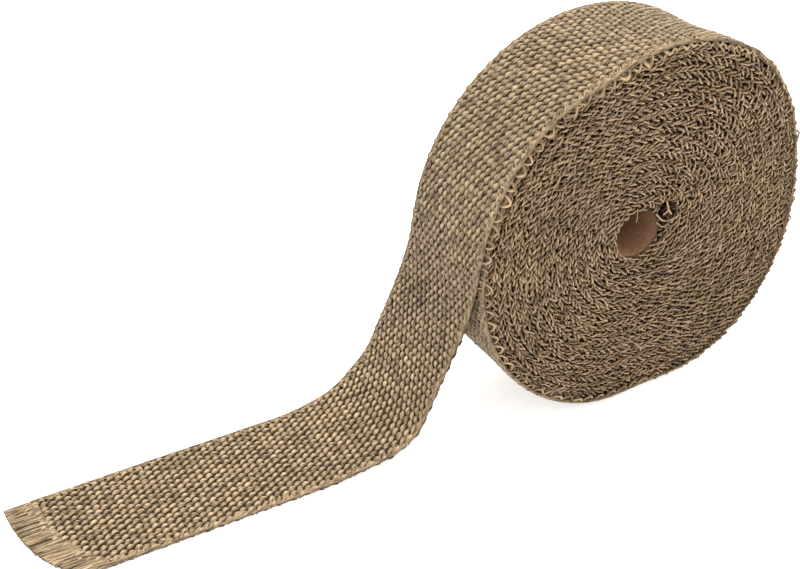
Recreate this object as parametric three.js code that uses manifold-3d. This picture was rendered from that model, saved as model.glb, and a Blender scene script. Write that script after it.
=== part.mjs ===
// Exhaust heat wrap: a woven tape wound on a cardboard core, with its free end lying out on the floor.
// Millimetres, +Z up. The roll's axis runs along Y and the free end runs out to -X.
import * as THREE from 'three';
import { mergeVertices } from 'three/addons/utils/BufferGeometryUtils.js';
import Module from 'manifold-3d';

// Tape
const TAPE_WIDTH = 50.8;
const TAPE_THICKNESS = 2.0;
const TURN_PITCH = 2.76;
const TURNS = 26;

// Core tube
const CORE_RADIUS = 12.0;
const CORE_WALL = 1.4;
const CORE_INSET = 0.4;
const CORE_CHAMFER = 0.4;
const CORE_CLEARANCE = 0.3;

// Where the core sits off the middle of the roll, as the outer turns hang looser to the right
const CORE_SHIFT_X = -5.6;
const CORE_SHIFT_Z = 2.3;

// Grooves between the turns, seen on both ends of the roll
const GROOVE_DEPTH = 1.0;
const INNER_TURNS_INSET = 0.4;

// How deep the outermost turn is sunk into the one below, so that they are one solid
const TURN_EMBED = 0.4;

// Points that the free end runs through on its way down: how far out from the roll's left side,
// and how high as a share of the drop from the roll's axis to the lying tape
const DROP_POINTS = [
  [2.9, 0.725],
  [6.5, 0.556],
  [10.3, 0.419],
  [15.6, 0.269],
  [22.9, 0.135],
  [32.9, 0.0575],
  [45.9, 0.02],
  [57.0, 0.0025],
];
const FLAT_START_OUT = 73.9;
const TAIL_OUT = 181.2;

// How far the free end drifts sideways, and where on its way down it does so
const TAIL_DRIFT = 10.6;
const DRIFT_START_RISE = 15.0;
const DRIFT_END_HEIGHT = 30.0;

// Rounded cut at the near corner of the free end, as an ellipse
const CUT_LENGTH = 24.0;
const CUT_WIDTH = 46.0;

// How finely the round shapes are faceted
const TURNED_SIDES = 36;
const OUTER_TURN_STEPS = 60;
const DROP_STEPS = 20;
const FLAT_STEPS = 4;
const CUT_STEPS = 8;

// Share of the outermost turn after which it comes down the roll's left side
const COMING_DOWN = 0.75;

// Sizes worked out from the ones above
const HALF_WIDTH = TAPE_WIDTH / 2;
const BORE_RADIUS = CORE_RADIUS + CORE_CLEARANCE;
const INNER_TURNS_RADIUS = BORE_RADIUS + (TURNS - 1) * TURN_PITCH;
const ROLL_RADIUS = INNER_TURNS_RADIUS + TURN_PITCH;
const ROLL_HEIGHT = INNER_TURNS_RADIUS + TURN_PITCH / 4;
const DROP_HEIGHT = ROLL_HEIGHT - TAPE_THICKNESS;
const FLAT_START_X = -ROLL_RADIUS - FLAT_START_OUT;
const TAIL_END_X = -ROLL_RADIUS - TAIL_OUT;
const CORE_LENGTH = TAPE_WIDTH - 2 * CORE_INSET;

// The box around everything, so that the origin sits at the middle of its underside
const RIGHT_X = INNER_TURNS_RADIUS + TURN_PITCH / 2;
const ORIGIN_X = (RIGHT_X + TAIL_END_X) / 2;
const ORIGIN_Y = TAIL_DRIFT / 2;

// Ready the library that joins solids
const wasm = await Module();
wasm.setup();

// Shape whose points are moved into the shared frame
function placed(geometry) {
  geometry.translate(-ORIGIN_X, -ORIGIN_Y, 0);
  return geometry;
}

// How far through the change from a to b the value is, eased at both ends
function eased(value, a, b) {
  const t = Math.min(Math.max((value - a) / (b - a), 0), 1);
  return t * t * (3 - 2 * t);
}

// Move each ring sideways, most at the bore and not at all at the rim
function shiftTowardCore(geometry) {
  const points = geometry.attributes.position;
  for (let i = 0; i < points.count; i += 1) {
    const x = points.getX(i);
    const z = points.getZ(i);
    const share = Math.min((ROLL_RADIUS - Math.hypot(x, z)) / (ROLL_RADIUS - BORE_RADIUS), 1);
    points.setX(i, x + CORE_SHIFT_X * share);
    points.setZ(i, z + CORE_SHIFT_Z * share);
  }
  return geometry;
}

// Closed outline of the inner turns: a crest and a groove for each turn, on both ends
function innerTurnsProfile() {
  const crest = HALF_WIDTH - INNER_TURNS_INSET;
  const groove = crest - GROOVE_DEPTH;
  const near = [];
  const far = [];
  for (let turn = 0; turn < TURNS - 1; turn += 1) {
    const start = BORE_RADIUS + turn * TURN_PITCH;
    const middle = start + TURN_PITCH / 2;
    near.push(new THREE.Vector2(start, -groove), new THREE.Vector2(middle, -crest));
    far.unshift(new THREE.Vector2(middle, crest), new THREE.Vector2(start, groove));
  }
  const outer = [
    new THREE.Vector2(INNER_TURNS_RADIUS, -groove),
    new THREE.Vector2(INNER_TURNS_RADIUS, groove),
  ];
  return [...near, ...outer, ...far, near[0].clone()];
}

// Inner turns as one turned solid with its bore
function innerTurns() {
  const geometry = new THREE.LatheGeometry(innerTurnsProfile(), TURNED_SIDES);
  shiftTowardCore(geometry);
  geometry.translate(0, 0, ROLL_HEIGHT);
  return geometry;
}

// One place along the tape: its outer side, its inner side and its two edges
function station(outer, inner, near, far) {
  return { outer, inner, near, far };
}

// Sideways drift of the tape at a height on its way down
function driftAt(z) {
  return TAIL_DRIFT * eased(z, ROLL_HEIGHT + DRIFT_START_RISE, DRIFT_END_HEIGHT);
}

// Outermost turn, from the roll's left side once round through the bottom, right and top,
// rising out of the inner turns by one pitch on the way
function outerTurnStations() {
  const list = [];
  for (let i = 0; i <= OUTER_TURN_STEPS; i += 1) {
    const share = i / OUTER_TURN_STEPS;
    const angle = Math.PI * (1 + 2 * share);
    const outerRadius = INNER_TURNS_RADIUS + TURN_PITCH * share;
    const sunkRadius = INNER_TURNS_RADIUS - TURN_EMBED - TAPE_THICKNESS * (1 - share);
    const along = (radius) => new THREE.Vector2(
      radius * Math.cos(angle),
      ROLL_HEIGHT + radius * Math.sin(angle),
    );
    const innerRadius = i === OUTER_TURN_STEPS ? outerRadius - TAPE_THICKNESS : sunkRadius;
    const outer = along(outerRadius);
    const drift = share > COMING_DOWN ? driftAt(outer.y) : 0;
    list.push(station(outer, along(innerRadius), drift - HALF_WIDTH, drift + HALF_WIDTH));
  }
  return list;
}

// Free end from the roll's left side down to the floor
function dropStations() {
  const shares = [[0, 1], ...DROP_POINTS, [FLAT_START_OUT, 0]];
  const guides = shares.map(([out, share]) => new THREE.Vector3(
    -ROLL_RADIUS - out,
    0,
    TAPE_THICKNESS + DROP_HEIGHT * share,
  ));
  const curve = new THREE.CatmullRomCurve3(guides, false, 'centripetal');
  const list = [];
  for (let i = 1; i <= DROP_STEPS; i += 1) {
    const point = curve.getPointAt(i / DROP_STEPS);
    const way = curve.getTangentAt(i / DROP_STEPS);
    const outer = new THREE.Vector2(point.x, point.z);
    const inner = new THREE.Vector2(
      point.x - way.z * TAPE_THICKNESS,
      Math.max(point.z + way.x * TAPE_THICKNESS, 0),
    );
    const drift = driftAt(point.z);
    list.push(station(outer, inner, drift - HALF_WIDTH, drift + HALF_WIDTH));
  }
  return list;
}

// Free end lying flat, to the rounded cut
function flatStations() {
  const list = [];
  const cutStart = TAIL_END_X + CUT_LENGTH;
  const add = (x, near) => {
    const far = TAIL_DRIFT + HALF_WIDTH;
    list.push(station(new THREE.Vector2(x, TAPE_THICKNESS), new THREE.Vector2(x, 0), near, far));
  };
  for (let i = 1; i <= FLAT_STEPS; i += 1) {
    add(FLAT_START_X + (cutStart - FLAT_START_X) * (i / FLAT_STEPS), TAIL_DRIFT - HALF_WIDTH);
  }
  for (let i = 1; i <= CUT_STEPS; i += 1) {
    const turn = (Math.PI / 2) * (i / CUT_STEPS);
    const rise = CUT_WIDTH * (1 - Math.cos(turn));
    add(cutStart - CUT_LENGTH * Math.sin(turn), TAIL_DRIFT - HALF_WIDTH + rise);
  }
  return list;
}

// Closed solid through a list of stations, four corners at each
function ribbon(stations) {
  const positions = [];
  const faces = [];
  stations.forEach(({ outer, inner, near, far }) => {
    positions.push(outer.x, near, outer.y);
    positions.push(outer.x, far, outer.y);
    positions.push(inner.x, far, inner.y);
    positions.push(inner.x, near, inner.y);
  });
  for (let i = 0; i < stations.length - 1; i += 1) {
    for (let side = 0; side < 4; side += 1) {
      const a = i * 4 + side;
      const b = i * 4 + ((side + 1) % 4);
      faces.push(a, b, b + 4, a, b + 4, a + 4);
    }
  }
  const last = (stations.length - 1) * 4;
  faces.push(0, 2, 1, 0, 3, 2);
  faces.push(last, last + 1, last + 2, last, last + 2, last + 3);
  const geometry = new THREE.BufferGeometry();
  geometry.setAttribute('position', new THREE.Float32BufferAttribute(positions, 3));
  geometry.setIndex(faces);
  return geometry;
}

// Solid for the joining library, from a three.js shape
function toSolid(geometry) {
  geometry.deleteAttribute('normal');
  geometry.deleteAttribute('uv');
  const welded = mergeVertices(geometry, 1e-5);
  const mesh = new wasm.Mesh({
    numProp: 3,
    vertProperties: new Float32Array(welded.attributes.position.array),
    triVerts: new Uint32Array(welded.index.array),
  });
  return new wasm.Manifold(mesh);
}

// three.js shape from a joined solid
function toGeometry(solid) {
  const mesh = solid.getMesh();
  const geometry = new THREE.BufferGeometry();
  geometry.setAttribute('position', new THREE.Float32BufferAttribute(mesh.vertProperties, 3));
  geometry.setIndex(new THREE.Uint32BufferAttribute(mesh.triVerts, 1));
  return geometry;
}

// Wound tape with its free end, one continuous piece
function wrapTape() {
  const stations = [...outerTurnStations(), ...dropStations(), ...flatStations()];
  const coil = toSolid(innerTurns());
  const outside = toSolid(ribbon(stations));
  return placed(toGeometry(coil.add(outside)));
}

// Cardboard tube the tape is wound on
function coreTube() {
  const half = CORE_LENGTH / 2;
  const inner = CORE_RADIUS - CORE_WALL;
  const profile = [
    new THREE.Vector2(inner, -half),
    new THREE.Vector2(CORE_RADIUS - CORE_CHAMFER, -half),
    new THREE.Vector2(CORE_RADIUS, -half + CORE_CHAMFER),
    new THREE.Vector2(CORE_RADIUS, half - CORE_CHAMFER),
    new THREE.Vector2(CORE_RADIUS - CORE_CHAMFER, half),
    new THREE.Vector2(inner, half),
    new THREE.Vector2(inner, -half),
  ];
  const geometry = new THREE.LatheGeometry(profile, TURNED_SIDES);
  geometry.translate(CORE_SHIFT_X, 0, ROLL_HEIGHT + CORE_SHIFT_Z);
  return placed(geometry);
}

// A named mesh in its material
function named(name, geometry, color, roughness) {
  const mesh = new THREE.Mesh(geometry, new THREE.MeshStandardMaterial({ color, roughness }));
  mesh.name = name;
  mesh.material.name = name === 'core_tube' ? 'cardboard' : 'tape';
  return mesh;
}

const heatWrap = new THREE.Group();
heatWrap.name = 'exhaust_heat_wrap';
heatWrap.add(named('wrap_tape', wrapTape(), 0xa58f70, 0.9));
heatWrap.add(named('core_tube', coreTube(), 0x8a6f52, 0.95));

export default heatWrap;
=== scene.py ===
"""Exhaust heat wrap: a roll of woven tape on a cardboard core, its free end lying on the floor."""

import math

import bpy
import numpy as np
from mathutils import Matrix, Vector


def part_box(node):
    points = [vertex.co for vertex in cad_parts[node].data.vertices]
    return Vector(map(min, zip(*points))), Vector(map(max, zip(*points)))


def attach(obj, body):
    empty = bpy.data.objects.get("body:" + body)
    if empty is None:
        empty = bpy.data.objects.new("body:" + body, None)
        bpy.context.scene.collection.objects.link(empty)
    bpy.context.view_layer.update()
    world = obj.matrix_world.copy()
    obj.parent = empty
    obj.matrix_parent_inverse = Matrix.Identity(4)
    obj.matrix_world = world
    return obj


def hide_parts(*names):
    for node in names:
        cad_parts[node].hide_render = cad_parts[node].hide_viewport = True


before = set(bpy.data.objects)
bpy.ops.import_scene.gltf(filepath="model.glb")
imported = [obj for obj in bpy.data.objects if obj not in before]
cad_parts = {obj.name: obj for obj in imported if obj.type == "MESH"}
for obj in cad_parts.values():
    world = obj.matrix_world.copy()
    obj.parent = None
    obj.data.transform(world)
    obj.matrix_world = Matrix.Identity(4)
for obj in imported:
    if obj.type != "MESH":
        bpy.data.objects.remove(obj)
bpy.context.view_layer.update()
rng = np.random.default_rng(41)

# Millimetres in a metre
MM = 1000.0
core_low, core_high = (np.array(corner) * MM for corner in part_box("core_tube"))

# Sizes in millimetres, as in the solids
TAPE_WIDTH = 50.8
TAPE_THICKNESS = 2.0
TURN_PITCH = 2.76
INNER_TURNS_RADIUS = 81.3
ROLL_RADIUS = 84.06
ROLL_HEIGHT = 81.99
BORE_RADIUS = 12.3
CORE_RADIUS = 12.0
CORE_WALL = 1.4
CORE_SHIFT = np.array([-5.6, 2.3])
TAIL_DRIFT = 10.6
DRIFT_FROM_Z = 97.0
DRIFT_TO_Z = 30.0
DRIFT_BEFORE_LEAVING = 140
DROP_POINTS = (
    (0.0, 1.0),
    (2.9, 0.725),
    (6.5, 0.556),
    (10.3, 0.419),
    (15.6, 0.269),
    (22.9, 0.135),
    (32.9, 0.0575),
    (45.9, 0.02),
    (57.0, 0.0025),
    (73.9, 0.0),
)
TAIL_OUT = 181.2
CUT_LENGTH = 24.0
CUT_WIDTH = 46.0

# Where the roll's axis lies in the shared frame
core_middle = (core_low + core_high) / 2
AXIS_X = core_middle[0] - CORE_SHIFT[0]
AXIS_Y = core_middle[1]

# Weave
WARP_YARNS = 32
WARP_PITCH = 1.565
WEFT_PITCH = 3.15
WEAVE_LIFT = 0.52
YARN_HALF_THICKNESS = 0.60
WEAVE_SKEW = 0.10
SKEW_BLEND = 120
FRINGE = 9.0

# One float of the warp: its reach each way in weft pitches, half widths, and half its arc in degrees
FLOAT_REACH = 0.74
FLOAT_NECK = 0.74
FLOAT_SWELL = 0.78
FLOAT_ARC = 100
SLANT_ON_ROLL = 0.10
SLANT_CHANGE = 0.52
SLIMMER_ON_FREE_END = 0.14
SLANT_BLEND = 60

# How far the floats stray: in slow waves and one by one, along and across the tape
WAVE_ALONG = 0.25
STRAY_ALONG = 0.13
WAVE_ACROSS = 0.22
STRAY_ACROSS = 0.09

# The weave's last row: how much nearer to the cut on average, and how ragged
LAST_ROW_ON = 0.4
LAST_ROW_RAGGED = 1.3

# Painted shade of a float at its darkest: at its leading and trailing end where it dips under its
# neighbours, and on its near and far side, most on the near side away from the light
LEAD_SHADE = 0.62
TRAIL_SHADE = 0.26
NEAR_SHADE = 0.16
FAR_SHADE = 0.60

# Painted shade: a darker stretch of the tape, just before it leaves the roll
TONE = 1.02
DARK_SHARE = 0.24
DARK_BEFORE = 35
DARK_LENGTH = 70

# Twist and shift of the free end, where it hangs and where it bends at the floor
TWIST_HANGING = 0.8
TWIST_AT_BEND = 1.7
BEND_HEIGHT = 12
BEND_SPAN = 7
BEND_OUT = 0.35
HANG_IN = 0.5
HANG_IN_HEIGHTS = (20, 40)
LIFT_OFF_HEIGHTS = (1.2, 6)

# How far past the middle of the tape a rim's swell still reaches
SWELL_PAST_MIDDLE = 12

# Loops of the weft round the edges: lean along the tape and place in the pitch, for each set
SELVAGE_SETS = ((6.4, 0.0), (4.6, 0.5))
SELVAGE_REACH = 2.3
SELVAGE_INSET_NEAR = 1.0
SELVAGE_INSET_FAR = 1.3
SELVAGE_HALF_WIDTH = 0.46
SELVAGE_HALF_HEIGHT = 0.40
CORD_RADIUS = 0.62
CORD_INSET = 0.60
# Painted shade of the cord, which lies under the loops
CORD_SHADE = 0.62

# Strands of the end faces
STRAND_HALF_LENGTH = 1.70
UPPER_HALF_WIDTH = 0.42
LOWER_HALF_WIDTH = 0.54
STRAND_HALF_HEIGHT = 0.46
STRAND_STAGGER = 0.62
STRAND_INSET = 0.75
STRAND_DIVE = 1.0
LOWER_SET_BACK = 0.85
FIRST_ROWS_SET_BACK = 0.8
STRAND_STRAY = 0.28
ROW_STRAY = 0.18

# Cut end: strands for each warp yarn, and how far they start under the weave
FRINGE_STRANDS = 10
FRINGE_OVERLAP = 4.0
FRINGE_SHADE = 0.66
FRINGE_HALF_WIDTHS = (0.30, 0.65)
FRINGE_HALF_HEIGHTS = (0.25, 0.40)
FRINGE_LEVELS = (-0.45, 0.50)

# The cardboard stands back from the tape's edges, and the strands come in over its wall
CORE_INSET = 1.5
# Painted shade of the core: its ends dark, and its bore darker toward the top and lighter toward the
# bottom
CORE_END_SHADE = 0.3
CORE_SHADE = 0.95
CORE_SHADE_CHANGE = 0.72
CORE_BEVEL = 0.5
STRANDS_INSIDE_CORE = 1.6

# Degrees round from the right: the outermost turn starts under itself, and leaves at the left
START_ANGLE = 140.0
LEFT_ANGLE = 180.0
LEAVE_ANGLE = LEFT_ANGLE + 360.0

# Steps along the tape's path: degrees on the roll, points while it is smoothed, millimetres at last
TURN_STEP = 2.0
FINE_POINTS = 6000
PATH_STEP = 0.25

# Swells of the rims: middle in degrees round, width in degrees, height in millimetres
NEAR_SWELLS = (
    (274.0, 14.0, -3.4),
    (314.0, 24.0, 2.6),
    (368.0, 22.0, -2.2),
    (422.0, 28.0, 3.2),
    (471.0, 13.0, -2.6),
)
FAR_SWELLS = ((465.0, 35.0, 1.1),)

# Hollows in the near face beside the core: place, size and depth
HOLLOWS = (
    (9.6, 90.6, 4.2, 6.5),
    (8.0, 85.3, 2.0, 5.0),
    (5.3, 80.8, 2.0, 4.0),
)


# Smooth step from 0 at a to 1 at b
def smooth(value, a, b):
    t = np.clip((value - a) / (b - a), 0, 1)
    return t * t * (3 - 2 * t)


# From a darkest value up to 1, by a share
def lightened(darkest, share):
    return darkest + (1 - darkest) * share


# One random value for each piece, as a column
def varied(mean, spread, count):
    return rng.normal(mean, spread, count)[:, None]


# Random values within limits, one for each piece
def varied_within(mean, spread, count, low, high):
    return np.clip(rng.normal(mean, spread, count), low, high)


# Fixed random waves, to vary things slowly along two directions
def waves(count, low, high, seed):
    r = np.random.default_rng(seed)
    angle = r.uniform(0, 2 * np.pi, count)
    freq = r.uniform(low, high, count)
    phase = r.uniform(0, 2 * np.pi, count)

    def value(a, b):
        total = 0
        for k in range(count):
            total = total + np.sin(freq[k] * (a * np.cos(angle[k]) + b * np.sin(angle[k])) + phase[k])
        return total / math.sqrt(count)

    return value


# Cubic from point i to the next one, at a share t of the span between them
def cubic(points, slope, i, t, span):
    return (
        (2 * t**3 - 3 * t**2 + 1) * points[i]
        + (t**3 - 2 * t**2 + t) * span * slope[i]
        + (3 * t**2 - 2 * t**3) * points[i + 1]
        + (t**3 - t**2) * span * slope[i + 1]
    )


# Middle line of the outermost turn and the free end, evenly spaced
def tape_path():
    degrees = np.arange(START_ANGLE, LEAVE_ANGLE, TURN_STEP)
    angle = np.radians(degrees)
    radius = INNER_TURNS_RADIUS + TURN_PITCH * (degrees - LEFT_ANGLE) / 360 - TAPE_THICKNESS / 2
    turn = np.stack([radius * np.cos(angle), ROLL_HEIGHT + radius * np.sin(angle)], 1)
    drop = np.array(DROP_POINTS)
    height = ROLL_HEIGHT - TAPE_THICKNESS
    outer = np.stack([-ROLL_RADIUS - drop[:, 0], TAPE_THICKNESS + height * drop[:, 1]], 1)
    outer = np.vstack([outer, [[-ROLL_RADIUS - TAIL_OUT / 1.5, TAPE_THICKNESS]]])
    outer = np.vstack([outer, [[-ROLL_RADIUS - TAIL_OUT, TAPE_THICKNESS]]])
    along = np.gradient(outer, axis=0)
    along /= np.linalg.norm(along, axis=1)[:, None]
    side = np.stack([along[:, 1], -along[:, 0]], 1)
    points = np.vstack([turn, outer - side * TAPE_THICKNESS / 2])
    knots = np.concatenate([[0], np.cumsum(np.sqrt(np.linalg.norm(np.diff(points, axis=0), axis=1)))])
    slope = np.gradient(points, knots, axis=0)
    fine = np.linspace(0, knots[-1], FINE_POINTS)
    i = np.clip(np.searchsorted(knots, fine) - 1, 0, len(knots) - 2)
    span = (knots[i + 1] - knots[i])[:, None]
    t = (fine - knots[i])[:, None] / span
    curve = cubic(points, slope, i, t, span)
    length = np.concatenate([[0], np.cumsum(np.linalg.norm(np.diff(curve, axis=0), axis=1))])
    even = np.arange(0, length[-1], PATH_STEP)
    x = np.interp(even, length, curve[:, 0])
    z = np.interp(even, length, curve[:, 1])
    return even, x, z


PATH_S, PATH_X, PATH_Z = tape_path()
PATH_TX = np.gradient(PATH_X, PATH_S)
PATH_TZ = np.gradient(PATH_Z, PATH_S)
PATH_DEGREES = np.degrees(np.unwrap(np.arctan2(PATH_Z - ROLL_HEIGHT, PATH_X)))
PATH_END = PATH_S[-1]
LEAVE_S = PATH_S[np.argmax(PATH_DEGREES > LEAVE_ANGLE)]
PATH_DRIFT = TAIL_DRIFT * smooth(PATH_Z, DRIFT_FROM_Z, DRIFT_TO_Z)
PATH_DRIFT[PATH_S <= LEAVE_S - DRIFT_BEFORE_LEAVING] = 0.0

tail_wave = waves(5, 0.02, 0.06, 3)
rim_wave = waves(4, 0.015, 0.04, 8)


# Sum of the swells at an angle round the roll
def swell(degrees, swells):
    round_once = (degrees - LEFT_ANGLE) % 360 + LEFT_ANGLE
    total = 0
    for middle, width, height in swells:
        total = total + height * np.exp(-(((round_once - middle) / width) ** 2))
    return total


# How far the tape stands out from its path
def bulge(s, y):
    edge = TAPE_WIDTH / 2
    degrees = np.interp(s, PATH_S, PATH_DEGREES)
    wound = 1 - smooth(s, LEAVE_S - 8, LEAVE_S + 15)
    near = smooth(y, SWELL_PAST_MIDDLE, -edge) * swell(degrees, NEAR_SWELLS)
    far = smooth(y, -SWELL_PAST_MIDDLE, edge) * swell(degrees, FAR_SWELLS)
    height = np.interp(s, PATH_S, PATH_Z)
    hanging = smooth(s, LEAVE_S - 5, LEAVE_S + 25) * smooth(height, *LIFT_OFF_HEIGHTS)
    bend = np.exp(-(((height - BEND_HEIGHT) / BEND_SPAN) ** 2))
    turned = (TWIST_HANGING + TWIST_AT_BEND * bend) * y / edge
    moved = BEND_OUT * bend - HANG_IN * smooth(height, *HANG_IN_HEIGHTS)
    return wound * (near + far) + hanging * (turned + moved)


# A point of the tape: distance along it, distance across it, height over its middle
def tape_point(s, y, h):
    x = np.interp(s, PATH_S, PATH_X)
    z = np.interp(s, PATH_S, PATH_Z)
    tx = np.interp(s, PATH_S, PATH_TX)
    tz = np.interp(s, PATH_S, PATH_TZ)
    out = h + bulge(s, y)
    return np.stack([x + out * tz, y + np.interp(s, PATH_S, PATH_DRIFT), z - out * tx], -1)


# Where the tape is cut, as a distance along it, for a place across it
def cut_at(y):
    from_near = np.clip(y + TAPE_WIDTH / 2, 0, CUT_WIDTH)
    return PATH_END - CUT_LENGTH * (1 - np.sqrt(1 - (1 - from_near / CUT_WIDTH) ** 2))


# Slant of the weave on the free end
def skewed(s, y):
    return s - WEAVE_SKEW * smooth(s, LEAVE_S, LEAVE_S + SKEW_BLEND) * y


# Millimetres about the roll's axis to metres in the shared frame
def to_frame(points):
    return (points + np.array([AXIS_X, AXIS_Y, 0.0])) / MM


# Shade of grey to a warm multiplier: the darker, the browner
DARKEST = 0.1
LIGHTEST = 1.8
RED_POWER = 0.94
BLUE_POWER = 1.12


def warm(shade):
    shade = np.clip(shade, DARKEST, LIGHTEST)
    return np.stack([shade**RED_POWER, shade, shade**BLUE_POWER, np.ones_like(shade)], -1)


# Mesh object from grids of points: (count, rings, sides, 3)
def grid_object(name, points, uv, shade, material, closed=False, replaces="wrap_tape"):
    count, rings, sides = points.shape[:3]
    verts = to_frame(points.reshape(-1, 3))
    base = np.arange(count * rings * sides).reshape(count, rings, sides)
    if closed:
        around = np.roll(base, -1, axis=2)
        a, b, c, d = base[:, :-1], around[:, :-1], around[:, 1:], base[:, 1:]
    else:
        a, b, c, d = base[:, :-1, :-1], base[:, :-1, 1:], base[:, 1:, 1:], base[:, 1:, :-1]
    quads = np.stack([a, b, c, d], -1).reshape(-1, 4)
    mesh = bpy.data.meshes.new(name)
    mesh.vertices.add(len(verts))
    mesh.vertices.foreach_set("co", verts.astype(np.float32).ravel())
    mesh.loops.add(quads.size)
    mesh.loops.foreach_set("vertex_index", quads.astype(np.int32).ravel())
    mesh.polygons.add(len(quads))
    mesh.polygons.foreach_set("loop_start", np.arange(0, quads.size, 4, dtype=np.int32))
    mesh.update(calc_edges=True)
    mesh.validate()
    mesh.polygons.foreach_set("use_smooth", np.ones(len(mesh.polygons), dtype=bool))
    layer = mesh.uv_layers.new(name="fibre")
    index = np.empty(len(mesh.loops), dtype=np.int32)
    mesh.loops.foreach_get("vertex_index", index)
    layer.data.foreach_set("uv", uv.reshape(-1, 2)[index].astype(np.float32).ravel())
    colour = warm(np.broadcast_to(shade, (count, rings, sides)))
    attribute = mesh.color_attributes.new(name="tone_and_painted_shade", type="FLOAT_COLOR", domain="POINT")
    attribute.data.foreach_set("color", colour.astype(np.float32).ravel())
    mesh.materials.append(material)
    obj = bpy.data.objects.new(name, mesh)
    bpy.context.scene.collection.objects.link(obj)
    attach(obj, "root")
    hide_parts(replaces)
    return obj


# Tubes along many centre lines at once: centres (count, rings, 3), up directions the same
def tube_object(name, centres, up, half_width, half_height, sides, shade, material):
    along = np.gradient(centres, axis=1)
    along /= np.linalg.norm(along, axis=2, keepdims=True) + 1e-9
    across = np.cross(along, up)
    across /= np.linalg.norm(across, axis=2, keepdims=True) + 1e-9
    lift = np.cross(across, along)
    turn = np.linspace(0, 2 * np.pi, sides, endpoint=False)
    wide = half_width[:, :, None, None] * np.cos(turn)[None, None, :, None] * across[:, :, None, :]
    high = half_height[:, :, None, None] * np.sin(turn)[None, None, :, None] * lift[:, :, None, :]
    points = centres[:, :, None, :] + wide + high
    step = np.linalg.norm(np.diff(centres, axis=1), axis=2)
    length = np.concatenate([np.zeros((len(centres), 1)), np.cumsum(step, axis=1)], axis=1)
    offset = rng.uniform(0, 100, len(centres))
    u = np.broadcast_to((length + offset[:, None])[:, :, None], points.shape[:3])
    v = half_width[:, :, None] * turn[None, None, :]
    uv = np.stack([u, v], -1)
    # Painted shade on the lower side of each tube's section, facing away from its up direction
    under = lightened(0.72, smooth(np.sin(turn), -0.6, 0.5))
    shade = shade[:, :, None] * under[None, None, :]
    return grid_object(name, points, uv, shade, material, closed=True)


# Fineness of the fibres along and across a yarn, per millimetre, and the turn of their noise
FIBRE_FINENESS = (0.16, 1.05, 1.0)
FIBRE_NOISE_TURN = 0.28

# Fineness of the slow changes and of the grain, per metre
SLOW_SCALE = 28.0
GRAIN_SCALE = 900.0

# Depth of the relief in metres
FIBRE_DEPTH = 0.0004
GRAIN_DEPTH = 0.0005


# Multiply two colours
def multiplied(nodes, links, first, second):
    mix = nodes.new("ShaderNodeMix")
    mix.data_type = "RGBA"
    mix.blend_type = "MULTIPLY"
    mix.inputs["Factor"].default_value = 1.0
    links.new(first, mix.inputs["A"])
    links.new(second, mix.inputs["B"])
    return mix.outputs["Result"]


# Noise between two values of a range
def ranged_noise(nodes, links, vector, scale, detail, low, high):
    noise = nodes.new("ShaderNodeTexNoise")
    noise.inputs["Scale"].default_value = scale
    noise.inputs["Detail"].default_value = detail
    links.new(vector, noise.inputs["Vector"])
    span = nodes.new("ShaderNodeMapRange")
    span.inputs["From Min"].default_value = 0.3
    span.inputs["From Max"].default_value = 0.7
    span.inputs["To Min"].default_value = low
    span.inputs["To Max"].default_value = high
    links.new(noise.outputs["Fac"], span.inputs["Value"])
    return span.outputs["Result"]


# Noise to a colour between two, each with its place
def ramped(nodes, links, noise, low, dark, high, light):
    ramp = nodes.new("ShaderNodeValToRGB")
    ramp.color_ramp.elements[0].position = low
    ramp.color_ramp.elements[0].color = (*dark, 1.0)
    ramp.color_ramp.elements[1].position = high
    ramp.color_ramp.elements[1].color = (*light, 1.0)
    links.new(noise.outputs["Fac"], ramp.inputs["Fac"])
    return ramp.outputs["Color"]


# Colour times the random tone and painted shade that the mesh carries
def painted(nodes, links, colour):
    tone_and_painted_shade = nodes.new("ShaderNodeVertexColor")
    tone_and_painted_shade.layer_name = "tone_and_painted_shade"
    return multiplied(nodes, links, colour, tone_and_painted_shade.outputs["Color"])


# Relief from the same noise as the colour
def add_relief(nodes, links, noise, strength, depth):
    bump = nodes.new("ShaderNodeBump")
    bump.inputs["Strength"].default_value = strength
    bump.inputs["Distance"].default_value = depth
    links.new(noise.outputs["Fac"], bump.inputs["Height"])
    links.new(bump.outputs["Normal"], nodes["Principled BSDF"].inputs["Normal"])


# New matte material, with its nodes and links
def matte_material(name, roughness, specular):
    mat = bpy.data.materials.new(name)
    mat.use_nodes = True
    nodes = mat.node_tree.nodes
    nodes["Principled BSDF"].inputs["Roughness"].default_value = roughness
    nodes["Principled BSDF"].inputs["Specular IOR Level"].default_value = specular
    return mat, nodes, mat.node_tree.links


# Yarn: streaks along the fibres, slow changes over the surface, and the painted shade
def yarn_material(name, light, dark):
    mat, nodes, links = matte_material(name, 0.7, 0.3)
    uv = nodes.new("ShaderNodeUVMap")
    uv.uv_map = "fibre"
    stretch = nodes.new("ShaderNodeMapping")
    stretch.inputs["Scale"].default_value = FIBRE_FINENESS
    stretch.inputs["Rotation"].default_value = (0.0, 0.0, FIBRE_NOISE_TURN)
    streak = nodes.new("ShaderNodeTexNoise")
    streak.inputs["Scale"].default_value = 1.0
    streak.inputs["Detail"].default_value = 2.0
    streak.inputs["Roughness"].default_value = 0.6
    links.new(uv.outputs["UV"], stretch.inputs["Vector"])
    links.new(stretch.outputs["Vector"], streak.inputs["Vector"])
    fibres = ramped(nodes, links, streak, 0.40, dark, 0.54, light)
    where = nodes.new("ShaderNodeTexCoord")
    slow = ranged_noise(nodes, links, where.outputs["Object"], SLOW_SCALE, 3.0, 0.86, 1.10)
    colour = multiplied(nodes, links, painted(nodes, links, fibres), slow)
    links.new(colour, nodes["Principled BSDF"].inputs["Base Color"])
    add_relief(nodes, links, streak, 0.7, FIBRE_DEPTH)
    return mat


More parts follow.
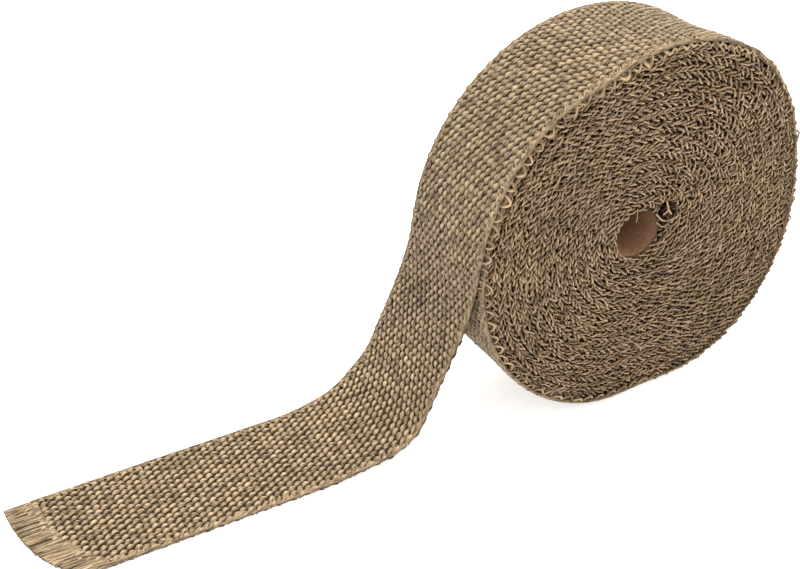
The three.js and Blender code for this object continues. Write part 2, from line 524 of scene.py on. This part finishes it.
# Matte surface with a fine grain, times the painted shade
def grain_material(name, colour, relief, vary):
    mat, nodes, links = matte_material(name, 0.95, 0.15)
    where = nodes.new("ShaderNodeTexCoord")
    noise = nodes.new("ShaderNodeTexNoise")
    noise.inputs["Scale"].default_value = GRAIN_SCALE
    noise.inputs["Detail"].default_value = 5.0
    links.new(where.outputs["Object"], noise.inputs["Vector"])
    dark = [c * (1 - vary) for c in colour]
    light = [c * (1 + vary) for c in colour]
    grain = ramped(nodes, links, noise, 0.3, dark, 0.7, light)
    links.new(painted(nodes, links, grain), nodes["Principled BSDF"].inputs["Base Color"])
    add_relief(nodes, links, noise, relief, GRAIN_DEPTH)
    return mat


WARP_YARN = yarn_material("warp_yarn", (0.292, 0.210, 0.121), (0.092, 0.061, 0.030))
EDGE_YARN = yarn_material("edge_yarn", (0.262, 0.178, 0.097), (0.108, 0.066, 0.032))
# Near black yarn, painted as shade, for the sheets seen only through gaps
PAINTED_SHADE_YARN = grain_material("painted_shade_yarn", (0.018, 0.011, 0.006), 0.5, 0.3)
CARDBOARD = grain_material("core_board", (0.200, 0.106, 0.058), 0.4, 0.25)


# Middles of the floats that show on one side of the tape, in a checkerboard
def float_places(first, last, sign):
    col, yarn = np.meshgrid(np.arange(first, last), np.arange(WARP_YARNS), indexing="ij")
    col, yarn = col.ravel(), yarn.ravel()
    shown = (col + yarn) % 2 == (0 if sign > 0 else 1)
    s = (col[shown] + 0.5) * WEFT_PITCH
    y = (yarn[shown] - (WARP_YARNS - 1) / 2) * WARP_PITCH
    s = s + WAVE_ALONG * rim_wave(s, y * 3) + rng.normal(0, STRAY_ALONG, len(s))
    s = skewed(s, y)
    y = y + WAVE_ACROSS * tail_wave(s * 1.5, y * 3) + rng.normal(0, STRAY_ACROSS, len(s))
    keep = s < cut_at(y) - FRINGE + rng.normal(LAST_ROW_ON, LAST_ROW_RAGGED, len(s))
    return s[keep], y[keep]


# Painted shade over one float: dark where it dips under its neighbours, and on its flanks, most on the
# near side away from the light
def painted_float_shade(rings, arc):
    lead = lightened(LEAD_SHADE, smooth(rings, -FLOAT_REACH, -0.40))
    trail = lightened(TRAIL_SHADE, smooth(rings, 0.70, 0.05))
    near_side = lightened(NEAR_SHADE, smooth(arc, np.radians(-98), np.radians(-18)))
    far_side = lightened(FAR_SHADE, smooth(arc, np.radians(105), np.radians(40)))
    return (lead * trail)[None, :, None] * (near_side * far_side)[None, None, :]


# Rounded floats of the warp over the weft, as open shells
def weave_floats(name, first, last, sign, ring_count, arc_count):
    rings = np.linspace(-FLOAT_REACH, FLOAT_REACH, ring_count)
    arc = np.radians(np.linspace(-FLOAT_ARC, FLOAT_ARC, arc_count))
    s_mid, y_mid = float_places(first, last, sign)
    n = len(s_mid)
    on_tail = smooth(s_mid, LEAVE_S - SLANT_BLEND, LEAVE_S + SLANT_BLEND)
    size = varied(1.0, 0.07, n)
    ds = rings[None, :] * WEFT_PITCH * varied(1.0, 0.05, n)
    rise = np.cos(np.pi * rings)[None, :]
    crown = np.clip(rise, 0, 1) ** 0.6
    half_width = (FLOAT_NECK + FLOAT_SWELL * crown) * size * (1 - SLIMMER_ON_FREE_END * on_tail)[:, None]
    lift = WEAVE_LIFT * rise * varied(1.0, 0.14, n)
    thick = YARN_HALF_THICKNESS * (0.70 + 0.30 * crown) * size
    slant = (rng.normal(SLANT_ON_ROLL, 0.06, n) - SLANT_CHANGE * on_tail)[:, None]
    s = s_mid[:, None, None] + ds[:, :, None] + 0 * arc
    y = y_mid[:, None, None] + (slant * ds)[:, :, None] + half_width[:, :, None] * np.sin(arc)
    h = sign * (lift[:, :, None] + thick[:, :, None] * np.cos(arc))
    points = tape_point(s, y, h)
    offset = rng.uniform(0, 60, n)[:, None, None]
    uv = np.stack([s + offset, y + offset * 3], -1)
    # Painted shade on the stretch just before the tape leaves the roll
    dip = np.exp(-(((s_mid - LEAVE_S + DARK_BEFORE) / DARK_LENGTH) ** 2))
    tone = varied_within(1.0, 0.10, n, 0.7, 1.3) * (TONE - DARK_SHARE * dip)
    return grid_object(name, points, uv, tone[:, None, None] * painted_float_shade(rings, arc), WARP_YARN)


COLUMNS = int(PATH_END / WEFT_PITCH) + 2
LEAVE_COLUMN = int((LEAVE_S - 12) / WEFT_PITCH)
weave_floats("weave_on_roll", 0, LEAVE_COLUMN, 1, 7, 6)
tail_top = weave_floats("weave_on_free_end", LEAVE_COLUMN, COLUMNS, 1, 7, 6)
tail_under = weave_floats("weave_under_free_end", LEAVE_COLUMN, COLUMNS, -1, 5, 5)


# Sheet inside the weave, painted dark as shade and seen only through its gaps, a little inside the edges
# and the cut
GROUND_INSIDE_EDGES = 1.0
GROUND_INSIDE_CUT = 0.7


def weave_ground(name, start, end, steps):
    s, across = np.meshgrid(np.linspace(start, end, steps), np.linspace(-1, 1, 9), indexing="ij")
    y = across * (TAPE_WIDTH / 2 - GROUND_INSIDE_EDGES)
    s = np.minimum(s, cut_at(y) - GROUND_INSIDE_CUT)
    points = tape_point(s, y, np.zeros_like(y))[None]
    return grid_object(name, points, np.stack([s, y], -1)[None], np.ones((1, 1, 1)), PAINTED_SHADE_YARN)


weave_ground("ground_on_roll", 0, LEAVE_S, 300)
tail_ground = weave_ground("free_end", LEAVE_S, PATH_END - 1.0, 150)


# Loops of the weft round both edges of the tape
def selvage():
    t = np.linspace(0, 1, 8)
    turn = np.pi * t[None, :]
    round_edge = np.sin(turn)
    centres, ups, tones = [], [], []
    for side, inset in ((-1, SELVAGE_INSET_NEAR), (1, SELVAGE_INSET_FAR)):
        edge = side * (TAPE_WIDTH / 2 - inset)
        for lean, phase in SELVAGE_SETS:
            s0 = (np.arange(2, (PATH_END - 12) / WEFT_PITCH) + 0.5 + phase) * WEFT_PITCH
            s0 = s0[s0 < cut_at(edge) - FRINGE * 0.6]
            n = len(s0)
            reach = varied(SELVAGE_REACH, 0.35, n)
            slide = varied(lean, 0.5, n)
            s = s0[:, None] + varied(0, 0.25, n) + slide * (t[None, :] - 0.5)
            out = varied(0, 0.08, n) * round_edge
            y = edge - side * (reach * (1 - round_edge) - out)
            h = (WEAVE_LIFT + 0.22) * np.cos(turn) + 0 * y
            s = skewed(s, y)
            middle = tape_point(s, y, h)
            centres.append(middle)
            ups.append(tape_point(s, y + side * 0.5 * round_edge, h * 1.5) - middle + 1e-6)
            tones.append(varied_within(1.0, 0.12, n, 0.6, 1.3))
    centres, ups = np.concatenate(centres), np.concatenate(ups)
    n, k = centres.shape[:2]
    width = np.full((n, k), SELVAGE_HALF_WIDTH) * varied(1, 0.10, n)
    height = np.full((n, k), SELVAGE_HALF_HEIGHT)
    # Painted shade: each loop darker toward its ends, where it dives into the weave
    shade = np.concatenate(tones)[:, None] * lightened(0.45, round_edge**0.5)
    return tube_object("selvage", centres, ups, width, height, 5, shade, WARP_YARN)


selvage()


# Straight cord along each edge, under the loops
def edge_cords():
    s = np.arange(2.0, PATH_END - FRINGE - 2, 1.6)
    centres, ups = [], []
    for side in (-1, 1):
        y = side * (TAPE_WIDTH / 2 - CORD_INSET) + 0.05 * rim_wave(s * 3, 0)
        reach = np.minimum(s, cut_at(y) - FRINGE * 0.4)
        line = tape_point(reach, y, np.full_like(s, 0.15))
        centres.append(line)
        ups.append(tape_point(reach, y, np.full_like(s, 1.15)) - line)
    centres, ups = np.stack(centres), np.stack(ups)
    size = np.full(centres.shape[:2], CORD_RADIUS)
    # Painted shade: the whole cord darker, as it lies under the loops
    shade = np.full(centres.shape[:2], CORD_SHADE)
    return tube_object("edge_cords", centres, ups, size, size * 1.3, 8, shade, WARP_YARN)


edge_cords()


# Place on an end face from radius and angle, moved toward the core as the solid is
def face_xz(radius, angle, side):
    share = np.clip((ROLL_RADIUS - radius) / (ROLL_RADIUS - BORE_RADIUS), 0, 1)
    swells = NEAR_SWELLS if side < 0 else FAR_SWELLS
    out = radius + smooth(radius, 40, 80) * swell(np.degrees(angle), swells)
    x = out * np.cos(angle) + CORE_SHIFT[0] * share
    z = ROLL_HEIGHT + out * np.sin(angle) + CORE_SHIFT[1] * share
    return x, z


# Steps along the wound turns from the outermost inward: turn count, radius and angle
def wound_places(pitch):
    outer = INNER_TURNS_RADIUS - TURN_PITCH * (LEFT_ANGLE - START_ANGLE) / 360 - TAPE_THICKNESS / 2
    inner = CORE_RADIUS - STRANDS_INSIDE_CORE
    run = np.arange(0, (outer**2 - inner**2) * math.pi / TURN_PITCH, pitch)
    radius = np.sqrt(outer**2 - TURN_PITCH * run / math.pi)
    turns = (outer - radius) / TURN_PITCH
    return turns, radius, math.radians(START_ANGLE) - 2 * math.pi * turns


# Slant of the strands from the turn's own direction, in degrees, round the face
SLANT_ANGLES = np.array([0.0, 30.0, 60.0, 90.0, 150.0, 210.0, 240.0, 270.0, 300.0, 330.0, 360.0])
SLANT_MEANS = np.array([26.0, 45.0, 8.0, 4.0, 12.0, 3.0, -5.0, 5.0, 24.0, 22.0, 26.0])
SLANT_SPREADS = np.array([22.0, 34.0, 30.0, 22.0, 18.0, 18.0, 18.0, 18.0, 14.0, 16.0, 22.0])


# How far the near face is pushed in at a place
def hollow_depth(x, z, side):
    deep = 0 * x
    for hx, hz, size, depth in HOLLOWS:
        deep = deep + depth * np.exp(-((np.hypot(x - hx, z - hz) / size) ** 4))
    return deep if side < 0 else 0 * x


# Directions of the strands: neighbouring rows lean opposite ways, and the lower set crosses the upper
def strand_slant(x, z, turns, degrees, upper, seed):
    local = waves(6, 0.10, 0.30, seed)
    parity = np.where((np.floor(turns) + (local(x, z) > 0.5)) % 2 < 1, 1.0, -1.0)
    mean = np.interp(degrees, SLANT_ANGLES, SLANT_MEANS)
    spread = np.interp(degrees, SLANT_ANGLES, SLANT_SPREADS)
    slant = mean + parity * spread + rng.normal(0, 9, len(turns))
    if not upper:
        slant = mean - parity * spread * 1.2 + rng.normal(0, 14, len(turns))
    return np.radians(slant)


# Strands of every wound turn, seen end on; the upper set lies over the lower one
def end_strands(name, side, pitch, upper, rings, sides, seed):
    broad = waves(6, 0.04, 0.10, seed + 1)
    turns, radii, angle = wound_places(pitch)
    n = len(turns)
    degrees = np.degrees(angle) % 360
    x, z = face_xz(radii, angle, side)
    slant = strand_slant(x, z, turns, degrees, upper, seed)
    angle = angle + rng.normal(0, STRAND_STRAY, n) / radii
    stagger = np.where(np.arange(n) % 2 == 0, STRAND_STAGGER, -STRAND_STAGGER)
    radii = radii + rng.normal(0, ROW_STRAY, n) + (stagger if upper else 0)
    t = np.linspace(-1, 1, rings)
    half = np.abs(rng.normal(STRAND_HALF_LENGTH, 0.30, n))
    bow = varied(0.08, 0.14, n) * (1 - t[None, :] ** 2)
    a = angle[:, None] + (half * np.cos(slant))[:, None] * t[None, :] / radii[:, None]
    r = radii[:, None] + (half * np.sin(slant))[:, None] * t[None, :] + bow
    high = rng.normal(0.15, 0.22, n) + 0.50 * broad(x, z)
    if not upper:
        high = high - LOWER_SET_BACK
    first_rows = smooth(turns, 1.6, 0.9) * smooth(degrees, 85, 110) * smooth(degrees, 300, 270)
    high = high - FIRST_ROWS_SET_BACK * first_rows
    x, z = face_xz(np.maximum(r, CORE_RADIUS - CORE_WALL + 0.1), a, side)
    depth = high[:, None] - STRAND_DIVE * np.abs(t[None, :]) ** 3
    hollow = hollow_depth(x, z, side)
    y = side * (TAPE_WIDTH / 2 - STRAND_INSET + depth - hollow)
    centres = np.stack([x, y, z], -1)
    ups = np.zeros_like(centres)
    ups[..., 1] = side
    body = 1 - 0.30 * np.abs(t[None, :]) ** 3
    half_width = UPPER_HALF_WIDTH if upper else LOWER_HALF_WIDTH
    width = varied_within(half_width, 0.07, n, 0.26, 0.8)[:, None] * body
    height = varied_within(STRAND_HALF_HEIGHT, 0.06, n, 0.3, 0.7)[:, None] * body
    # Painted shade: the lower set darker under the upper one, each strand darker toward its ends where
    # it dives, and all darker in the hollows
    tone = varied_within(1.0 if upper else 0.80, 0.17, n, 0.4, 1.45)
    shade = tone[:, None] * (1 - 0.45 * np.abs(t[None, :]) ** 2.2) / (1 + 0.8 * hollow)
    return tube_object(name, centres, ups, width, height, sides, shade, EDGE_YARN)


end_strands("face_near_upper", -1, 1.65, True, 5, 5, 21)
end_strands("face_near_lower", -1, 2.4, False, 5, 4, 21)
end_strands("face_far_upper", 1, 2.3, True, 5, 5, 31)
end_strands("face_far_lower", 1, 2.8, False, 4, 4, 31)

# The hooks: half their length along the rim, and how far inside the tape's edge they stand
HOOK_HALF_LENGTH = 2.6
HOOK_INSET = 0.4

# Hooks on the rims: name, side, first and last degrees round, reach down, height out, radius and spacing
RIM_HOOKS = (
    ("hooks_upper", -1, 452, 540, 3.3, 1.1, 0.58, 6.3),
    ("hooks_lower", -1, 181, 282, 2.9, 1.0, 0.54, 6.3),
    ("hooks_far", 1, 181, 430, 2.6, 0.4, 0.50, 6.3),
    ("rim_loops", -1, 284, 418, 0.2, 0.6, 0.50, 3.3),
    ("rim_loops_top", -1, 418, 452, 2.2, 0.9, 0.50, 4.2),
)


# Hooks of the outermost turn's weft, hanging over a rim
def rim_hooks(name, side, first, last, reach, proud, radius, spacing):
    first_s = np.interp(first, PATH_DEGREES, PATH_S)
    last_s = np.interp(last, PATH_DEGREES, PATH_S)
    s0 = np.arange(first_s, last_s, spacing)
    n = len(s0)
    t = np.linspace(-1, 1, 13)
    chord = varied(HOOK_HALF_LENGTH, 0.45, n)
    s = s0[:, None] + varied(0, 0.35, n) + chord * t[None, :] + 0.7 * (1 - t[None, :] ** 2)
    hang = 1 - np.abs(t[None, :]) ** 2.6
    depth = varied(reach, 0.35, n)
    out = varied(proud, 0.25, n)
    edge = side * (TAPE_WIDTH / 2 - HOOK_INSET)
    inward = np.where(t > 0, 2.8, 0.5)[None, :]
    y = edge + side * out * hang - side * inward * np.abs(t[None, :]) ** 3
    h = np.where(t > 0, 0.8, 0.1)[None, :] - depth * hang + 0.1 * t[None, :]
    centres = tape_point(s, y, h)
    ups = tape_point(s, y + side, h + 0.5) - centres
    width = np.full(s.shape, radius) * varied(1, 0.12, n)
    # Painted shade: each hook darker toward its ends, where it goes into the weave
    shade = varied_within(1.1, 0.12, n, 0.7, 1.4)[:, None] * lightened(0.75, hang)
    return tube_object(name, centres, ups, width, width * 0.85, 6, shade, EDGE_YARN)


for hooks in RIM_HOOKS:
    rim_hooks(*hooks)


# Turned body behind the strands, painted dark as shade, with a groove between neighbouring turns
BODY_INSET = 2.6
BODY_GROOVE = 1.2
BODY_INNER = BORE_RADIUS + 0.4
BODY_OUTER = INNER_TURNS_RADIUS - 1.6
BODY_LIP = 1.4


def coil_body():
    radii = np.arange(BODY_INNER, BODY_OUTER, TURN_PITCH / 2)
    crest = TAPE_WIDTH / 2 - BODY_INSET
    depth = np.where(np.arange(len(radii)) % 2 == 0, crest - BODY_GROOVE, crest)
    profile = [(BODY_INNER, -crest + BODY_LIP)]
    profile += [(r, -d) for r, d in zip(radii, depth)]
    profile += [(r, d) for r, d in zip(radii[::-1], depth[::-1])]
    profile += [(BODY_INNER, crest - BODY_LIP), (BODY_INNER, -crest + BODY_LIP)]
    profile = np.array(profile)
    radius, around = np.meshgrid(profile[:, 0], np.linspace(0, 2 * np.pi, 181), indexing="ij")
    place = profile[:, 1][:, None] + 0 * radius
    side = np.where(place < 0, -1, 1)
    x_near, z_near = face_xz(radius, around, -1)
    x_far, z_far = face_xz(radius, around, 1)
    x = np.where(side < 0, x_near, x_far)
    z = np.where(side < 0, z_near, z_far)
    y = place + np.where(side < 0, hollow_depth(x, z, -1) * 1.3, 0)
    points = np.stack([x, y, z], -1)[None]
    uv = np.stack([radius, around * 30], -1)[None]
    return grid_object("coil_body", points, uv, np.ones((1, 1, 1)), PAINTED_SHADE_YARN)


coil_body()


# Smooth line through a few points, in even steps
def curve_through(points, rings):
    points = np.array(points, dtype=float)
    t = np.linspace(0, len(points) - 1, rings)
    i = np.clip(t.astype(int), 0, len(points) - 2)
    return cubic(points, np.gradient(points, axis=0), i, (t - i)[:, None], 1)


# Single loose yarns on the near face: across the hollows, in the bore, and one loose end
LOOSE_YARNS = (
    ((8.8, -24.2, 95.5), (9.4, -25.0, 91.7), (7.4, -24.4, 89.6)),
    ((9.2, -24.8, 92.6), (10.2, -25.0, 90.8), (12.2, -24.0, 88.4)),
    ((3.6, -24.4, 91.0), (6.6, -25.2, 87.6), (11.0, -25.4, 86.6), (16.4, -24.2, 87.0)),
    ((4.8, -23.8, 86.4), (7.6, -24.8, 84.0), (11.5, -24.2, 84.6)),
    ((-6.9, -24.6, 96.3), (-6.6, -24.8, 93.0), (-6.2, -24.2, 89.6)),
    ((-3.6, -24.0, 30.5), (-1.2, -26.4, 28.4), (0.8, -27.2, 26.4), (1.6, -26.6, 24.4)),
)
LOOSE_RADII = (0.42, 0.40, 0.46, 0.40, 0.18, 0.45)
LOOSE_SHADES = (1.2, 1.2, 1.15, 1.0, 1.1, 1.1)


def loose_yarns():
    rings = 12
    centres = np.stack([curve_through(points, rings) for points in LOOSE_YARNS])
    ups = np.zeros_like(centres)
    ups[..., 1] = -1
    radius = np.array(LOOSE_RADII)[:, None] * np.ones((1, rings))
    shade = np.array(LOOSE_SHADES)[:, None] * np.ones((1, rings))
    return tube_object("loose_yarns", centres, ups, radius, radius, 6, shade, EDGE_YARN)


loose_yarns()


# Straight warp ends past the last weft, to the cut
def cut_fringe():
    yarn = np.repeat(np.arange(WARP_YARNS), FRINGE_STRANDS)
    y0 = (yarn - (WARP_YARNS - 1) / 2) * WARP_PITCH + rng.uniform(-0.8, 0.8, len(yarn))
    n = len(yarn)
    end = cut_at(np.clip(y0, -TAPE_WIDTH / 2 + 0.8, TAPE_WIDTH / 2)) + rng.normal(-0.2, 0.08, n)
    start = end - FRINGE - FRINGE_OVERLAP
    t = np.linspace(0, 1, 8)
    s = start[:, None] + (end - start)[:, None] * t[None, :]
    s = np.minimum(s, PATH_END + 0.4)
    bunch = 0.35 * np.sin(y0 * 1.1 + 1.0) + 0.25 * np.sin(y0 * 2.3)
    y = y0[:, None] + (bunch + rng.normal(0, 0.3, n))[:, None] * t[None, :] ** 2
    level = rng.uniform(*FRINGE_LEVELS, n)[:, None]
    arch = 0.35 * np.sin(np.pi * t)[None, :] * rng.uniform(-0.4, 1.0, n)[:, None]
    s_in = np.minimum(s, PATH_END - 0.3)
    centres = tape_point(s_in, y, level + arch)
    centres[..., 0] -= s - s_in
    ups = np.zeros_like(centres)
    ups[..., 2] = 1.0
    width = rng.uniform(*FRINGE_HALF_WIDTHS, n)[:, None] * np.ones_like(t)[None, :]
    height = rng.uniform(*FRINGE_HALF_HEIGHTS, n)[:, None] * np.ones_like(t)[None, :]
    centres[..., 2] = np.maximum(centres[..., 2], height + 0.05)
    shade = varied_within(FRINGE_SHADE, 0.17, n, 0.28, 1.1)[:, None] + 0 * t[None, :]
    return tube_object("cut_fringe", centres, ups, width, height, 6, shade, WARP_YARN)


fringe = cut_fringe()


# Cardboard core, set back behind the innermost strands, with painted shade: its ends dark, and its bore
# darker toward the top and lighter toward the bottom
def core_tube():
    half = TAPE_WIDTH / 2 - CORE_INSET
    inner = CORE_RADIUS - CORE_WALL
    near_end = [(inner, -half), (inner + CORE_BEVEL, -half - 0.05), (CORE_RADIUS - 0.4, -half)]
    near_end += [(CORE_RADIUS, -half + CORE_BEVEL)]
    far_end = [(CORE_RADIUS, half - CORE_BEVEL), (CORE_RADIUS - 0.4, half)]
    far_end += [(inner + CORE_BEVEL, half + 0.05)]
    bore = [(inner, y) for y in np.linspace(half, -half, 9)]
    ends = len(near_end) + len(far_end)
    profile = np.array(near_end + far_end + bore)
    radius, around = np.meshgrid(profile[:, 0], np.linspace(0, 2 * np.pi, 97), indexing="ij")
    x = radius * np.cos(around) + CORE_SHIFT[0]
    z = ROLL_HEIGHT + CORE_SHIFT[1] + radius * np.sin(around)
    y = profile[:, 1][:, None] + 0 * radius
    points = np.stack([x, y, z], -1)[None]
    uv = np.stack([radius, around * 10], -1)[None]
    # Painted shade: dark ends, and the bore darker toward the top and lighter toward the bottom
    ring_shade = np.where(np.arange(len(profile)) < ends, CORE_END_SHADE, 1.0)[:, None]
    shade = ((CORE_SHADE - CORE_SHADE_CHANGE * np.sin(around + 0.2)) * ring_shade)[None]
    return grid_object("core_board", points, uv, shade, CARDBOARD, replaces="core_tube")


core_tube()

# Floor: pale, and glowing a little so that the shadow stays faint
FLOOR_HALF = 3.0
FLOOR_GREY = 0.90
FLOOR_GLOW = 0.55
floor_mesh = bpy.data.meshes.new("floor")
corners = [(-FLOOR_HALF, -FLOOR_HALF, 0), (FLOOR_HALF, -FLOOR_HALF, 0)]
corners += [(FLOOR_HALF, FLOOR_HALF, 0), (-FLOOR_HALF, FLOOR_HALF, 0)]
floor_mesh.from_pydata(corners, [], [(0, 1, 2, 3)])
floor = bpy.data.objects.new("floor", floor_mesh)
bpy.context.scene.collection.objects.link(floor)
floor_mat = bpy.data.materials.new("floor_white")
floor_mat.use_nodes = True
floor_shader = floor_mat.node_tree.nodes["Principled BSDF"]
floor_shader.inputs["Base Color"].default_value = (FLOOR_GREY, FLOOR_GREY, FLOOR_GREY, 1.0)
floor_shader.inputs["Roughness"].default_value = 1.0
floor_shader.inputs["Specular IOR Level"].default_value = 0.0
floor_shader.inputs["Emission Color"].default_value = (1.0, 1.0, 1.0, 1.0)
floor_shader.inputs["Emission Strength"].default_value = FLOOR_GLOW
floor_mesh.materials.append(floor_mat)

# Even white surroundings, and a soft light from above and a little from behind
WORLD_STRENGTH = 1.42
KEY_ENERGY = 5.5
KEY_ANGLE = math.radians(16)
LIGHT_FROM = Vector((0.0, 0.12, 0.99))
world = bpy.data.worlds.new("studio")
bpy.context.scene.world = world
world.use_nodes = True
world.node_tree.nodes["Background"].inputs["Color"].default_value = (1.0, 1.0, 1.0, 1.0)
world.node_tree.nodes["Background"].inputs["Strength"].default_value = WORLD_STRENGTH
light_data = bpy.data.lights.new("key", "SUN")
light_data.energy = KEY_ENERGY
light_data.angle = KEY_ANGLE
light = bpy.data.objects.new("key", light_data)
bpy.context.scene.collection.objects.link(light)
light.rotation_euler = (-LIGHT_FROM).to_track_quat("-Z", "Y").to_euler()
bpy.context.scene.view_settings.view_transform = "Standard"

# Camera at the photograph's viewpoint
CAMERA_PLACE = (-334.0, -404.25, 376.86)
CAMERA_YAW = math.radians(29.66)
CAMERA_PITCH = math.radians(32.80)
CAMERA_LENS = 62.61
camera_data = bpy.data.cameras.new("camera")
camera_data.lens = CAMERA_LENS
camera_data.sensor_width = 36.0
camera_data.clip_start = 0.01
camera = bpy.data.objects.new("camera", camera_data)
bpy.context.scene.collection.objects.link(camera)
camera.location = to_frame(np.array(CAMERA_PLACE)).tolist()
level = math.cos(CAMERA_PITCH)
look = Vector((math.sin(CAMERA_YAW) * level, math.cos(CAMERA_YAW) * level, -math.sin(CAMERA_PITCH)))
camera.rotation_euler = look.to_track_quat("-Z", "Y").to_euler()
bpy.context.scene.camera = camera
